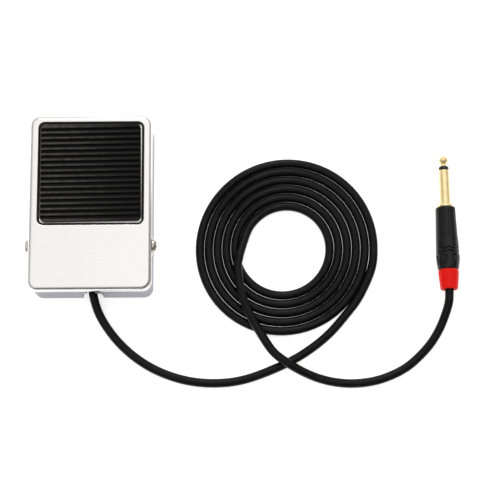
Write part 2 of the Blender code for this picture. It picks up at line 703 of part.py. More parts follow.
def make_spring():
    """The return spring: its first and last turns lie closed."""
    points = []
    per_turn = 10
    count = SPRING_TURNS * per_turn
    pitch_low = 1.15 * MM
    free = SPRING_TOP - SPRING_BOTTOM - 2 * SPRING_WIRE_R
    for k in range(count + 1):
        turn = k / per_turn
        open_turns = SPRING_TURNS - 2
        middle = min(max(turn - 1, 0), open_turns)
        ends = min(turn, 1) + max(turn - 1 - open_turns, 0)
        height = ends * pitch_low + middle * (free - 2 * pitch_low) / open_turns
        angle = 2 * math.pi * turn
        points.append((SPRING_R * math.cos(angle), SPRING_Y + SPRING_R * math.sin(angle),
                       SPRING_BOTTOM + SPRING_WIRE_R + height))
    tube("return_spring", points, SPRING_WIRE_R, "zinc_steel", resolution=1)


def make_spring_seat():
    """The seat on the tray floor that centres the spring's lower end."""
    base, disc, boss = FLOOR_TOP + GAP, 5.4 * MM, 9.0 * MM
    profile = [(0, boss), (2.4 * MM, boss), (3.0 * MM, boss - 0.8 * MM), (3.0 * MM, disc),
               (6.2 * MM, disc), (6.2 * MM, base), (0, base)]
    seat = turned("spring_seat", profile, "white_nylon")
    seat.location.y = SPRING_Y


def make_stops():
    for word, side in (("left", -1), ("right", 1)):
        base = STOP_POST_TOP + GAP
        profile = [(0, STOP_TOP), (3.0 * MM, STOP_TOP), (4.0 * MM, STOP_TOP - 1.2 * MM),
                   (4.0 * MM, base), (0, base)]
        stop = turned(f"stop_bumper_{word}", profile, "black_rubber", steps=16)
        stop.location = (side * STOP_X, STOP_Y, 0)


# -------------------------------------------------------------------------------- cord and wiring

def make_inner_wiring():
    """The end of the cord inside the tray, its clamp, and two wires to the switch."""
    tube("cord_end_inside", [(0, -48.8 * MM, ENTRY_Z), (0, -40.0 * MM, ENTRY_Z),
                             (0, -31.0 * MM, ENTRY_Z)], CORD_R, "cord_jacket", resolution=4)
    wires = {
        "wire_tip": ("wire_white", ((1.0, -30.6, 7.6), (2.6, -25.0, 9.4), (3.4, -18.0, 11.6),
                                    (1.6, -11.5, 12.5), (0.4, -7.8, 12.4))),
        "wire_sleeve": ("wire_black", ((-1.0, -30.6, 7.0), (-3.0, -25.0, 6.4), (-3.6, -17.5, 6.6),
                                       (-1.8, -11.5, 7.2), (-0.4, -7.8, 7.4)))}
    for name, (material, route) in wires.items():
        points = along_spline(in_metres(route), 2.5 * MM)
        tube(name, points, 0.75 * MM, material, resolution=1)


def make_clamp():
    """A nylon saddle over the cord: an arch with a foot on each side."""
    low, high = CLAMP_Y - 3.5 * MM, CLAMP_Y + 3.5 * MM
    base = SWITCH_BOTTOM
    bm = cylinder(5.0 * MM, high - low, (0, CLAMP_Y, ENTRY_Z), "Y", 32)
    for vert in bm.verts:
        vert.co.z = max(vert.co.z, base)
    clamp = add_mesh("cord_clamp", bm, "white_nylon")
    feet = box((-10.6 * MM, low - 0.2 * MM, base), (10.6 * MM, high + 0.2 * MM, base + 1.2 * MM))
    boolean(clamp, add_cutter("clamp_feet", feet), "UNION")
    bore = cylinder(CORD_R + 0.35 * MM, 20 * MM, (0, CLAMP_Y, ENTRY_Z), "Y", 24)
    boolean(clamp, add_cutter("clamp_bore", bore))
    screws = bmesh.new()
    for side in (-1, 1):
        cylinder(1.8 * MM, 6 * MM, (side * 7.6 * MM, CLAMP_Y, base), sides=20, bm=screws)
    boolean(clamp, add_cutter("clamp_screw_holes", screws))


def make_cord():
    """The open stretches as tubes and the flat coil as one turned ring."""
    tube("cord_lead", along_spline(in_metres(LEAD_ROUTE), ROUTE_SPACING), CORD_R, "cord_jacket")
    tube("cord_tail", along_spline(in_metres(TAIL_ROUTE), ROUTE_SPACING), CORD_R, "cord_jacket")
    top, low = COIL_HEIGHT, 0.02 * MM
    soft = 1.2 * MM
    profile = [(COIL_OUTER - soft, top), (COIL_OUTER, top - soft), (COIL_OUTER, low),
               (COIL_INNER, low), (COIL_INNER, top - soft), (COIL_INNER + soft, top)]
    coil = turned("cord_coil", profile, "cord_jacket", closed=True, steps=48)
    coil.location = (COIL_X, COIL_Y, 0)


# ------------------------------------------------------------------------------------------ plug

def mm_profile(points):
    return [(radius * MM, height * MM) for radius, height in points]


def make_plug():
    """The jack plug, each piece turned about one axis that starts at the boot's rear end."""
    axis = new_pivot("plug_axis", PLUG_REAR,
                     (math.radians(-90 - PLUG_DIP), 0, math.radians(PLUG_LEAN)))
    turned("plug_boot", mm_profile([
        (0, 12.1), (5.5, 12.1), (6.1, 11.7), (6.2, 10.4), (5.7, 4.3), (5.3, 1.2), (4.9, 0.25),
        (4.2, 0), (0, 0)]), "red_boot", axis)
    turned("plug_barrel", mm_profile([
        (4.9, 51.1), (5.8, 50.8), (6.25, 49.9), (6.3, 44), (6.7, 34), (6.95, 26), (7.15, 20.5),
        (7.0, 17.3), (6.5, 14.0), (6.2, 12.4), (4.5, 12.4), (4.5, 51.1)]), "black_shell", axis,
        closed=True)
    turned("plug_sleeve", mm_profile([
        (0, 74.9), (3.05, 74.9), (3.18, 74.7), (3.18, 53.0), (4.4, 52.7), (4.6, 52.2),
        (4.6, 51.4), (4.15, 51.4), (4.15, 43.5), (2.2, 43.5), (2.2, 38.5), (0, 38.5)]),
        "gold_plate", axis)
    turned("plug_insulator", mm_profile([
        (0, 77.0), (2.9, 77.0), (3.1, 76.8), (3.1, 75.4), (2.9, 75.2), (0, 75.2)]),
        "black_shell", axis)
    turned("plug_tip", mm_profile([
        (0, 84.2), (0.8, 84.1), (1.6, 83.6), (2.4, 82.8), (2.9, 82.0), (3.05, 81.3), (2.85, 80.6),
        (2.1, 79.7), (1.6, 79.1), (1.55, 78.6), (2.3, 77.6), (2.35, 77.3), (0, 77.3)]),
        "gold_plate", axis)
    turned("plug_collet", mm_profile([
        (4.1, 26.0), (4.1, 15.0), (2.95, 15.0), (2.95, 26.0)]), "white_nylon", axis, closed=True)


# ------------------------------------------------------------------------------------------ build

def build():
    global PARTS, CUTTERS
    clear_scene()
    PARTS = new_collection("sustain_pedal")
    CUTTERS = new_collection("cutters")
    make_materials()
    make_tray()
    make_sole()
    pivot = new_pivot("treadle_pivot", (0, HINGE_Y, HINGE_Z), (math.radians(REST_TILT), 0, 0))
    make_cover(pivot)
    make_pad(pivot)
    make_spring_cup(pivot)
    make_peg(pivot)
    make_hinge_hardware()
    make_switch_body()
    make_bracket()
    make_floor_screws()
    make_switch_screws()
    make_terminals()
    make_lever()
    make_plunger()
    make_spring()
    make_spring_seat()
    make_stops()
    make_inner_wiring()
    make_clamp()
    make_cord()
    make_plug()


build()
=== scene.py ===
import json
import math

import bmesh
import bpy
import numpy as np
from mathutils import Matrix, Vector


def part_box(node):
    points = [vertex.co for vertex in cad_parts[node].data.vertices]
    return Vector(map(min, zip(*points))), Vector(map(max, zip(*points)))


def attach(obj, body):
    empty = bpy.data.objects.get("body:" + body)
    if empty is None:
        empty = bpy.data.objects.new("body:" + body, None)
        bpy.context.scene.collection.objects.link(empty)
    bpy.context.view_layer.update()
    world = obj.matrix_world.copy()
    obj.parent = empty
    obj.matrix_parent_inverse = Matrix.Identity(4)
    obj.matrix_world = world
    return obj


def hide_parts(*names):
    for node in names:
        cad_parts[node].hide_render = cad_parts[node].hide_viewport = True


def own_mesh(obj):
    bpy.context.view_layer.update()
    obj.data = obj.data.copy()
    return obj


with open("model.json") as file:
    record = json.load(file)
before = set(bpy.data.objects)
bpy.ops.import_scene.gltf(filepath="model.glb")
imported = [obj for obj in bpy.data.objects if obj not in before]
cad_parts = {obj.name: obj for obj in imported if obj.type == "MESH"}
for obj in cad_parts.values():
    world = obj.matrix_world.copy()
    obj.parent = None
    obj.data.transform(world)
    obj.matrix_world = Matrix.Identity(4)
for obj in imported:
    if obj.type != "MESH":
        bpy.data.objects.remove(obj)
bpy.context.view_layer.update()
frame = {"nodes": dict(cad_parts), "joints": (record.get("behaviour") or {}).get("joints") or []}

# The looks of a sustain pedal: a brushed treadle with a ribbed pad over a cast tray, its coiled
# cord and its jack plug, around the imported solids.  Lengths are in metres and come from the
# frame where it has them; the rest repeats the solids' own source.
MM = 0.001
HINGE = Vector(frame["joints"][0]["pos_m"])
REST_TILT = math.radians(1.4)       # the treadle's, toe up
TREADLE = Matrix.Translation(HINGE) @ Matrix.Rotation(REST_TILT, 4, "X") @ Matrix.Translation(-HINGE)
WORLD = Matrix.Identity(4)

# Treadle, drawn level
COVER_HALF_X, COVER_HALF_Y, COVER_Y = 36.7 * MM, 53.25 * MM, 0.08 * MM
COVER_TOP, COVER_LIP, COVER_WALL = 30.4 * MM, 23.9 * MM, 1.2 * MM
COVER_CORNER, SHOULDER, EAR_R = 6.0 * MM, 2.8 * MM, 6.0 * MM
RECESS_X, RECESS_HALF_X, RECESS_TOE, RECESS_HEEL = 0.3 * MM, 31.85 * MM, 49.3 * MM, -14.1 * MM
RECESS_CORNER, RECESS_FLOOR, PAN_UNDER = 4.0 * MM, 28.8 * MM, 27.6 * MM
RECESS_SLOPE = 1.3 / 1.6            # how far its walls lean in, for each unit of depth
PAD_X, PAD_Y, PAD_HALF_X, PAD_HALF_Y = 0.13 * MM, 17.9 * MM, 30.05 * MM, 29.8 * MM
PAD_CORNER, PAD_TOP = 3.0 * MM, 31.1 * MM
PAD_TURN = math.radians(0.5)        # the pad is glued in a little askew
GROOVES, GROOVE_FIRST, GROOVE_PITCH = 17, 26.4 * MM, 3.345 * MM
GROOVE_SLOPE, RIB_CROWN = 0.34 * MM, 0.16 * MM
CREST_DEPTH = 0.2 * MM              # below a rib's top by this much, rubber gets neither wear nor painted sheen
GAP = 0.3 * MM

# Tray
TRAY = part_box("base_tray")
TRAY_BOTTOM, TRAY_CORNER = TRAY[0].z, 5.6 * MM
TRAY_HALF_X, TRAY_HALF_Y = TRAY[1].x, TRAY[1].y
STEP_HEEL, STEP_TOE, RABBET_HEEL, RABBET_TOE = 22.8 * MM, 20.7 * MM, 27.2 * MM, 24.3 * MM
RABBET_INSET, CAVITY_INSET = 1.8 * MM, 3.1 * MM
FLOOR_UNDER, FLOOR_TOP = 2.5 * MM, 4.1 * MM
NOTCH_HALF, NOTCH_TOP, SLIT_HALF = 6.1 * MM, 15.8 * MM, 2.6 * MM
HOLE_R = 2.1 * MM
REACH = 120 * MM                    # longer than anything that a cutter goes through

# Cord and plug
CORD_DRAWN_R = 2.65 * MM            # its facets lie a little inside this
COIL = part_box("cord_coil")
PLUG_REAR, PLUG_LEAN, PLUG_DIP = Vector((215.1, -50.6, 7.8)) * MM, 0.3, 1.6
PLUG = (Matrix.Translation(PLUG_REAR) @ Matrix.Rotation(math.radians(PLUG_LEAN), 4, "Z")
        @ Matrix.Rotation(math.radians(-90 - PLUG_DIP), 4, "X"))

MATERIALS = {}


# ------------------------------------------------------------------------------ camera and light

def make_camera():
    """Nearly overhead, from a little behind the heel."""
    lift, swing = math.radians(78.15), math.radians(-0.405)
    back = Vector((math.sin(swing) * math.cos(lift), -math.cos(swing) * math.cos(lift),
                   math.sin(lift)))
    right = Vector((math.cos(swing), math.sin(swing), 0))
    camera = bpy.data.objects.new("camera", bpy.data.cameras.new("camera"))
    camera.data.lens, camera.data.sensor_width = 97.2, 36
    camera.data.clip_start, camera.data.clip_end = 0.01, 20
    place = Matrix((right, back.cross(right), back)).transposed().to_4x4()
    camera.matrix_world = Matrix.Translation((0.09380, -0.19360, 0.80977)) @ place
    bpy.context.scene.collection.objects.link(camera)
    bpy.context.scene.camera = camera


class Nodes:
    """Short calls that add nodes to one node tree and link them."""

    def __init__(self, tree):
        self.tree = tree

    def add(self, kind, settings=(), **inputs):
        node = self.tree.nodes.new(kind)
        for key, value in dict(settings).items():
            setattr(node, key, value)
        for key, value in inputs.items():
            self.put(node, key.replace("_", " "), value)
        return node

    def put(self, node, key, value):
        socket = node.inputs[int(key)] if key.isdigit() else node.inputs[key]
        if isinstance(value, bpy.types.NodeSocket):
            self.tree.links.new(value, socket)
        else:
            socket.default_value = value

    def math(self, operation, first, second=0.0):
        node = self.add("ShaderNodeMath", {"operation": operation})
        self.put(node, "0", first)
        self.put(node, "1", second)
        return node.outputs[0]

    def between(self, value, start, end, low=0.0, high=1.0):
        """The value, as it goes from start to end, eased from low to high."""
        node = self.add("ShaderNodeMapRange", {"interpolation_type": "SMOOTHSTEP"})
        for key, number in zip("01234", (value, start, end, low, high)):
            self.put(node, key, number)
        return node.outputs[0]

    def place(self, stretch=(1, 1, 1)):
        """Object coordinates, in metres, stretched along each axis."""
        where = self.add("ShaderNodeTexCoord").outputs["Object"]
        return self.add("ShaderNodeMapping", Vector=where, Scale=stretch).outputs[0]

    def noise(self, grain, stretch=(1, 1, 1), detail=3.0, rough=0.5):
        """Noise from 0 to 1 whose lumps are about grain metres across."""
        node = self.add("ShaderNodeTexNoise", Vector=self.place(stretch), Scale=1 / grain,
                        Detail=detail, Roughness=rough)
        return node.outputs[0]

    def colours(self, share, low, high):
        node = self.add("ShaderNodeMix", {"data_type": "RGBA"})
        self.put(node, "0", share)
        self.put(node, "6", (*low, 1))
        self.put(node, "7", (*high, 1))
        return node.outputs[2]

    def bumps(self, layers):
        """Bump nodes in a row, one for each (height, depth in metres)."""
        normal = None
        for height, depth in layers:
            node = self.add("ShaderNodeBump", Height=height, Distance=depth, Strength=1.0)
            if normal is not None:
                self.put(node, "Normal", normal)
            normal = node.outputs[0]
        return normal


def make_world():
    """A bright soft ceiling over greyer walls, the darkest of them towards the heel."""
    world = bpy.data.worlds.new("studio")
    bpy.context.scene.world = world
    world.use_nodes = True
    n = Nodes(world.node_tree)
    n.tree.nodes.clear()
    where = n.add("ShaderNodeTexCoord").outputs["Generated"]
    parts = n.add("ShaderNodeSeparateXYZ", Vector=where)
    x, y, z = parts.outputs
    ceiling = n.math("MULTIPLY", n.between(z, 0.35, 0.88, 0.38, 1.10),
                     n.between(x, -0.20, -0.05, 0.94, 1.08))
    ceiling = n.math("MULTIPLY", ceiling, n.between(x, -0.75, -0.35, 0.68, 1.0))
    side = n.math("ADD", n.math("MULTIPLY", x, 0.60), n.math("MULTIPLY", y, -0.80))
    dim = n.between(side, 0.25, 0.50, 1.0, 0.25)
    left = n.math("ADD", n.math("MULTIPLY", x, -0.85), n.math("MULTIPLY", y, 0.35))
    glow = n.math("MULTIPLY", n.between(left, 0.30, 0.90, 0.0, 0.25), n.between(z, 0.7, 0.3))
    level = n.math("ADD", n.math("MULTIPLY", ceiling, dim), glow)
    light = n.add("ShaderNodeBackground", Color=(1.0, 0.99, 0.975, 1), Strength=level)
    output = n.add("ShaderNodeOutputWorld")
    n.put(output, "Surface", light.outputs[0])


def add_area(name, place, target, size, power, colour=(1, 1, 1)):
    light = bpy.data.lights.new(name, "AREA")
    light.shape, light.size, light.energy, light.color = "DISK", size, power, colour
    obj = bpy.data.objects.new(name, light)
    bpy.context.scene.collection.objects.link(obj)
    obj.location = place
    obj.rotation_euler = (Vector(target) - Vector(place)).to_track_quat("-Z", "Y").to_euler()


def make_studio():
    make_world()
    add_area("key_softbox", (0.05, 1.05, 0.95), (0.08, 0, 0), 0.45, 3.5)
    bpy.context.scene.view_settings.view_transform = "Standard"
    n = material("paper_floor")
    tone = n.colours(n.noise(0.05, detail=6), (0.86, 0.86, 0.86), (0.90, 0.90, 0.90))
    shade(n, tone, 0.9, normal=n.bumps([(n.noise(0.0006, detail=5), 0.00001)]),
          Emission_Color=(1, 1, 1, 1), Emission_Strength=0.7)
    floor = bpy.data.objects.new("floor", bpy.data.meshes.new("floor"))
    half = 4.0
    floor.data.from_pydata([(-half, -half, 0), (half, -half, 0), (half, half, 0), (-half, half, 0)],
                           [], [(0, 1, 2, 3)])
    floor.data.materials.append(MATERIALS["paper_floor"])
    bpy.context.scene.collection.objects.link(floor)


# ------------------------------------------------------------------------------------- materials

def material(name):
    made = bpy.data.materials.new(name)
    made.use_nodes = True
    MATERIALS[name] = made
    return Nodes(made.node_tree)


def shade(n, colour, roughness, metallic=0.0, normal=None, **more):
    """Feed the material's Principled shader; every number here is set on its own socket."""
    shader = n.tree.nodes["Principled BSDF"]
    n.put(shader, "Base Color", colour if not isinstance(colour, tuple) else (*colour, 1))
    n.put(shader, "Roughness", roughness)
    n.put(shader, "Metallic", metallic)
    if normal is not None:
        n.put(shader, "Normal", normal)
    for key, value in more.items():
        n.put(shader, key.replace("_", " "), value)


def brushed_metal(name, dark, light, rough, along=(0.03, 1, 1), depth=0.000001, blotch=0.03):
    """Fine straight brush lines, cloudy handling marks and a few long hairline scratches."""
    n = material(name)
    lines = n.noise(0.00018, along, detail=4, rough=0.6)
    clouds = n.noise(blotch, detail=4)
    hairs = n.noise(0.0011, tuple(0.25 * s if s < 1 else s for s in along), detail=2, rough=0.7)
    tone = n.math("ADD", n.math("MULTIPLY", lines, 0.5), n.math("MULTIPLY", clouds, 0.5))
    colour = n.colours(n.between(tone, 0.35, 0.65), dark, light)
    sheen = n.math("ADD", n.between(lines, 0.3, 0.7, -0.04, 0.05),
                   n.between(clouds, 0.3, 0.7, rough - 0.01, rough + 0.02))
    shade(n, colour, sheen, 1.0, n.bumps([(lines, depth), (hairs, 0.3 * depth)]))


def cast_metal(name, dark, light, rough):
    """A tumbled casting: small soft pits and a faint mottling."""
    n = material(name)
    pits = n.noise(0.00035, detail=5, rough=0.6)
    clouds = n.noise(0.006, detail=4)
    colour = n.colours(n.between(clouds, 0.3, 0.7), dark, light)
    shade(n, colour, n.between(pits, 0.3, 0.7, rough - 0.05, rough + 0.08), 1.0,
          n.bumps([(pits, 0.000012), (clouds, 0.00001)]))


def plated_metal(name, dark, light, rough, scratch=0.000003):
    """Bright plating with a soft unevenness and micro-scratches."""
    n = material(name)
    clouds = n.noise(0.0025, detail=4)
    scratches = n.noise(0.00012, (1, 0.15, 1), detail=3)
    colour = n.colours(n.between(clouds, 0.3, 0.7), dark, light)
    shade(n, colour, n.between(n.noise(0.0012), 0.3, 0.7, rough - 0.03, rough + 0.05), 1.0,
          n.bumps([(clouds, 0.00002), (scratches, scratch)]))


def moulded(name, dark, light, rough, grain=0.00025, depth=0.000006, **more):
    """Moulded plastic: a slight orange peel under a fine grain, with uneven gloss."""
    n = material(name)
    fine = n.noise(grain, detail=4)
    peel = n.noise(0.0022, detail=2)
    colour = n.colours(n.between(n.noise(0.004, detail=5), 0.3, 0.7), dark, light)
    shade(n, colour, n.between(fine, 0.3, 0.7, rough - 0.05, rough + 0.06), 0.0,
          n.bumps([(peel, 0.00002), (fine, depth)]), **more)


def rubber(name, dark, wear_and_sheen_colour, rough, right_sheen_share=1.0):
    """Grained rubber whose crests are greyer and smoother, partly from wear and partly a painted
    sheen, which is kept whole on the left and fades to the right.
    """
    n = material(name)
    crest = n.add("ShaderNodeAttribute", {"attribute_name": "crest"}).outputs["Fac"]
    fine = n.noise(0.00022, detail=5, rough=0.6)
    dust = n.noise(0.0045, detail=6, rough=0.65)
    across = n.add("ShaderNodeSeparateXYZ", Vector=n.place()).outputs[0]
    wear_and_sheen = n.math("MULTIPLY", crest, n.between(dust, 0.30, 0.72, 0.45, 1.0))
    # painted sheen: the crests' lighter colour is kept whole on the left and cut to a share on the
    # right
    wear_and_sheen = n.math("MULTIPLY", wear_and_sheen, n.between(across, 0.03, -0.03, right_sheen_share, 1.0))
    colour = n.colours(wear_and_sheen, dark, wear_and_sheen_colour)
    gloss = n.math("ADD", n.between(fine, 0.3, 0.7, rough, rough + 0.10),
                   n.math("MULTIPLY", wear_and_sheen, -0.08))
    shade(n, colour, gloss, 0.0, n.bumps([(dust, 0.00002), (fine, 0.000012)]),
          Specular_IOR_Level=0.09)


def make_materials():
    brushed_metal("cover_metal", (0.82, 0.805, 0.79), (0.86, 0.845, 0.83), 0.27)
    cast_metal("tray_metal", (0.285, 0.28, 0.325), (0.315, 0.31, 0.355), 0.42)
    plated_metal("screw_nickel", (0.55, 0.50, 0.42), (0.74, 0.70, 0.63), 0.20)
    plated_metal("zinc_steel", (0.50, 0.51, 0.50), (0.66, 0.66, 0.62), 0.32)
    plated_metal("gold", (0.95, 0.74, 0.38), (0.99, 0.84, 0.50), 0.44)
    plated_metal("brass", (0.70, 0.50, 0.22), (0.84, 0.64, 0.32), 0.28)
    # the pad's grey crests are partly wear and partly painted sheen, cut to 0.13 of it on the right
    rubber("pad_rubber", (0.0012, 0.0012, 0.0013), (0.100, 0.098, 0.095), 0.36, 0.13)
    rubber("sole_rubber", (0.016, 0.016, 0.016), (0.034, 0.034, 0.034), 0.60)
    moulded("nylon", (0.66, 0.65, 0.60), (0.78, 0.77, 0.72), 0.45)
    moulded("switch_plastic", (0.018, 0.018, 0.019), (0.036, 0.036, 0.038), 0.45)
    moulded("red_plastic", (0.60, 0.02, 0.015), (0.78, 0.04, 0.03), 0.35)
    moulded("barrel_plastic", (0.0035, 0.0035, 0.004), (0.008, 0.008, 0.009), 0.28,
            Specular_IOR_Level=0.27)
    moulded("ring_plastic", (0.008, 0.008, 0.009), (0.016, 0.016, 0.017), 0.24)
    moulded("boot_plastic", (0.93, 0.005, 0.003), (1.0, 0.010, 0.005), 0.40,
            Specular_IOR_Level=0.16)
    moulded("cord_pvc", (0.0025, 0.0025, 0.003), (0.006, 0.006, 0.0066), 0.33, grain=0.0004,
            depth=0.00001, Specular_IOR_Level=0.15)
    moulded("wire_white", (0.66, 0.66, 0.62), (0.78, 0.78, 0.75), 0.42)
    moulded("wire_black", (0.012, 0.012, 0.012), (0.024, 0.024, 0.024), 0.42)


# --------------------------------------------------------------------------------- mesh building

def add_piece(name, data, surface, body, nodes=()):
    obj = bpy.data.objects.new(name, data)
    data.materials.append(MATERIALS[surface])
    bpy.context.scene.collection.objects.link(obj)
    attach(obj, body)
    if nodes:
        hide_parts(*nodes)
    return obj


def mesh_of(name, vertices, faces, place=WORLD, sharp=38):
    """A closed mesh, its faces outward and its edges sharp above an angle in degrees."""
    mesh = bpy.data.meshes.new(name)
    mesh.from_pydata([tuple(v) for v in vertices], [], faces)
    bm = bmesh.new()
    bm.from_mesh(mesh)
    bmesh.ops.remove_doubles(bm, verts=bm.verts, dist=0.5e-6)
    bmesh.ops.recalc_face_normals(bm, faces=bm.faces)
    bm.to_mesh(mesh)
    bm.free()
    mesh.transform(place)
    mesh.shade_smooth()
    mesh.set_sharp_from_angle(angle=math.radians(sharp))
    return mesh


def weigh_normals(obj):
    modifier = obj.modifiers.new("flat_faces_stay_flat", "WEIGHTED_NORMAL")
    modifier.keep_sharp = True


def arc(start, end, count):
    return [start + (end - start) * k / count for k in range(count + 1)]


def smooth_step(t):
    """From 0 to 1 as t goes from 0 to 1, easing at both ends."""
    t = min(max(t, 0.0), 1.0)
    return t * t * (3 - 2 * t)


def distinct(values, apart):
    """The values in order, without any that nearly repeat the one before."""
    values = sorted(values)
    return [v for k, v in enumerate(values) if k == 0 or v - values[k - 1] > apart]


def filleted(points, steps=5):
    """(radius, distance, rounding) points as a profile whose corners are rounded off."""
    made = []
    for k, (r, s, rounding) in enumerate(points):
        here = Vector((r, s))
        if rounding == 0 or k in (0, len(points) - 1):
            made.append(here)
            continue
        before, after = Vector(points[k - 1][:2]), Vector(points[k + 1][:2])
        reach = min(rounding, 0.5 * (before - here).length, 0.5 * (after - here).length)
        a = here + (before - here).normalized() * reach
        b = here + (after - here).normalized() * reach
        for t in arc(0, 1, steps):
            made.append(a * (1 - t) ** 2 + here * 2 * t * (1 - t) + b * t ** 2)
    return [(max(p.x, 0.0) * MM, p.y * MM) for p in made]


def lathe(name, profile, steps=64, place=WORLD, closed=False, swell=None, sharp=38):
    """Turn a (radius, height) profile about local Z; swell(angle, height, radius) reshapes it."""
    vertices, rings, faces = [], [], []
    for radius, height in profile:
        count = 1 if radius < 1e-7 else steps
        rings.append(range(len(vertices), len(vertices) + count))
        for k in range(count):
            angle = 2 * math.pi * k / steps
            r = swell(angle, height, radius) if swell and count > 1 else radius
            vertices.append((r * math.cos(angle), r * math.sin(angle), height))
    pairs = list(zip(rings, rings[1:])) + ([(rings[-1], rings[0])] if closed else [])
    for a, b in pairs:
        for k in range(steps):
            corners = [a[k % len(a)], a[(k + 1) % len(a)], b[(k + 1) % len(b)], b[k % len(b)]]
            corners = list(dict.fromkeys(corners))
            if len(corners) > 2:
                faces.append(corners)
    return mesh_of(name, vertices, faces, place, sharp)


def outline(half_x, low_y, high_y, corner, sides, ends, corner_steps=12):
    """Points round a rounded rectangle; sides and ends are shares along its straight stretches."""
    corner = max(corner, 0.02 * MM)
    run, across = high_y - low_y - 2 * corner, 2 * (half_x - corner)
    points = [(half_x, low_y + corner + run * t) for t in sides]
    for k in range(1, corner_steps):
        a = math.pi / 2 * k / corner_steps
        points.append((half_x - corner + corner * math.cos(a),
                       high_y - corner + corner * math.sin(a)))
    points += [(half_x - corner - across * t, high_y) for t in ends]
    for k in range(1, corner_steps):
        a = math.pi / 2 * (1 + k / corner_steps)
        points.append((-half_x + corner + corner * math.cos(a),
                       high_y - corner + corner * math.sin(a)))
    points += [(-half_x, low_y + corner + run * t) for t in reversed(sides)]
    for k in range(1, corner_steps):
        a = math.pi / 2 * (2 + k / corner_steps)
        points.append((-half_x + corner + corner * math.cos(a),
                       low_y + corner + corner * math.sin(a)))
    points += [(-half_x + corner + across * t, low_y) for t in ends]
    for k in range(1, corner_steps):
        a = math.pi / 2 * (3 + k / corner_steps)
        points.append((half_x - corner + corner * math.cos(a),
                       low_y + corner + corner * math.sin(a)))
    return points


def loft(name, loops, place=WORLD, sharp=38):
    """A closed skin over loops with as many points each, capped at both ends."""
    count = len(loops[0])
    vertices = [p for loop in loops for p in loop]
    faces = [list(range(count)), list(range(len(vertices) - count, len(vertices)))]
    for k in range(len(loops) - 1):
        for i in range(count):
            j = (i + 1) % count
            faces.append([k * count + i, k * count + j, (k + 1) * count + j, (k + 1) * count + i])
    return mesh_of(name, vertices, faces, place, sharp)


def cut(piece, cutters, operation="DIFFERENCE"):
    """Apply one Boolean to a piece with meshes that then go."""
    for mesh in cutters:
        cutter = bpy.data.objects.new("cutter", mesh)
        bpy.context.scene.collection.objects.link(cutter)
        modifier = piece.modifiers.new("cut", "BOOLEAN")
        modifier.operation, modifier.solver, modifier.object = operation, "EXACT", cutter
        bpy.context.view_layer.update()
        evaluated = piece.evaluated_get(bpy.context.evaluated_depsgraph_get())
        made = bpy.data.meshes.new_from_object(evaluated)
        piece.modifiers.clear()
        old, piece.data = piece.data, made
        bpy.data.meshes.remove(old)
        bpy.data.objects.remove(cutter)
        bpy.data.meshes.remove(mesh)


def cylinder(radius, low, high, axis="X", centre=(0, 0, 0), steps=64, name="cutter"):
    """A closed cylinder between two places along an axis through centre."""
    turn = {"X": Matrix.Rotation(math.pi / 2, 4, "Y"), "Y": Matrix.Rotation(-math.pi / 2, 4, "X"),
            "Z": Matrix.Identity(4)}[axis]
    profile = [(0, high), (radius, high), (radius, low), (0, low)]
    return lathe(name, profile, steps, Matrix.Translation(centre) @ turn)


def rounded_slab(name, half_x, low_y, high_y, corner, low, high, corner_steps=16, tops=None):
    """A slab with rounded upright edges; tops gives its upper face's height at the two ends."""
    base = outline(half_x, low_y, high_y, corner, (0, 1), (0, 1), corner_steps)
    heel, toe = tops or (high, high)
    upper = [(x, y, heel + (toe - heel) * (y - low_y) / (high_y - low_y)) for x, y in base]
    return loft(name, [[(x, y, low) for x, y in base], upper])


# --------------------------------------------------------------------------------------- treadle

